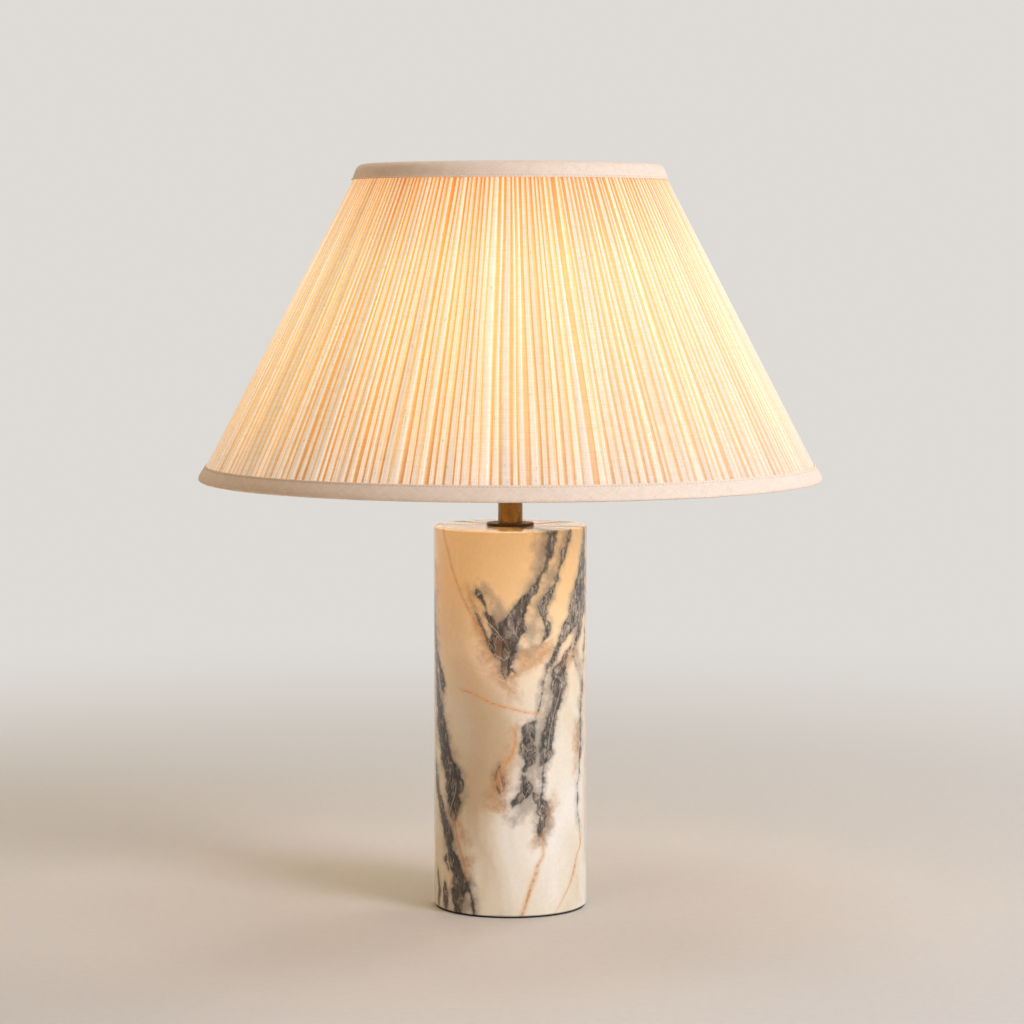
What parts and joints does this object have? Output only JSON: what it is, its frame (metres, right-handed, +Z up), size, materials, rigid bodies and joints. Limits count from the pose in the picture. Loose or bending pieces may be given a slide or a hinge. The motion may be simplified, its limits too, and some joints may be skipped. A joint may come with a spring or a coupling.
{
  "type": "table lamp",
  "caption": "Table lamp: a round stone column carries a conical gathered cloth shade on a brass stem and lampholder.",
  "frame": {"origin": "middle of the foot, on the surface that the lamp stands on", "axes": "+Z up along the column, +Y out of the back, where the cable leaves"},
  "size_m": [0.4056, 0.4056, 0.4845],
  "materials": {
    "marble": "polished",
    "pad": "matte",
    "zinc_steel": "satin",
    "antique_brass": "satin",
    "dark_bronze": "satin",
    "plain_brass": "satin",
    "nylon": "matte",
    "phenolic": "satin",
    "porcelain": "gloss",
    "block_plastic": "satin",
    "brown_sleeving": "satin",
    "blue_sleeving": "satin",
    "green_yellow_sleeving": "satin",
    "opal_glass": "satin",
    "clear_glass": "gloss",
    "phosphor": "matte",
    "cap_metal": "satin",
    "black_glass": "gloss",
    "frame_enamel": "satin",
    "lining_film": "satin",
    "linen": "matte",
    "linen_tape": "matte"
  },
  "bodies": {
    "base": {"base_pad": "pad", "base_plate": "zinc_steel", "base_screws": "zinc_steel", "base_inserts": "plain_brass", "marble_column": "marble", "cable_bush": "antique_brass", "threaded_rod": "zinc_steel", "rod_bush": "nylon", "clamp_washer": "zinc_steel", "earth_tag": "zinc_steel", "lock_washer": "zinc_steel", "bottom_nut": "zinc_steel", "terminal_block": "block_plastic", "block_sleeves": "plain_brass", "block_clamp_screws": "zinc_steel", "block_fixing_screws": "zinc_steel", "wire_live": "brown_sleeving", "wire_neutral": "blue_sleeving", "wire_earth": "green_yellow_sleeving", "top_flange": "dark_bronze", "stem_tube": "antique_brass", "holder_cap": "antique_brass", "lock_screw": "zinc_steel", "switch_body": "phenolic", "holder_terminals": "plain_brass", "holder_terminal_screws": "zinc_steel", "holder_core": "porcelain", "core_screws": "zinc_steel", "screw_shell": "plain_brass", "centre_contact": "plain_brass", "holder_skirt": "antique_brass"},
    "switch_bar": {"push_bar": "phenolic", "push_knobs": "phenolic"},
    "ring": {"shade_ring": "antique_brass"},
    "carrier": {"shade_carrier": "antique_brass"},
    "shade": {"shade_top_frame": "frame_enamel", "shade_bottom_ring": "frame_enamel", "shade_lining": "lining_film", "pleated_linen": "linen", "top_trim": "linen_tape", "bottom_trim": "linen_tape"},
    "bulb": {"bulb_glass": "opal_glass", "bulb_stem": "clear_glass", "bulb_filaments": "phosphor", "bulb_cap": "cap_metal", "bulb_insulator": "black_glass", "bulb_contact": "plain_brass"}
  },
  "joints": [
    {"name": "switch_push", "type": "slide", "parent": "base", "child": "switch_bar", "axis": [1, 0, 0], "range_m": [0, 0.005]},
    {"name": "ring_turn", "type": "hinge", "parent": "base", "child": "ring", "pos_m": [0, 0, 0.333], "axis": [0, 0, 1], "range_deg": [0, 720]},
    {"name": "carrier_turn", "type": "hinge", "parent": "base", "child": "carrier", "pos_m": [0, 0, 0.329], "axis": [0, 0, 1], "continuous": true},
    {"name": "shade_lift", "type": "slide", "parent": "carrier", "child": "shade", "axis": [0, 0, 1], "range_m": [0, 0.2]},
    {"name": "bulb_lift", "type": "slide", "parent": "base", "child": "bulb", "axis": [0, 0, 1], "range_m": [0, 0.12]}
  ]
}
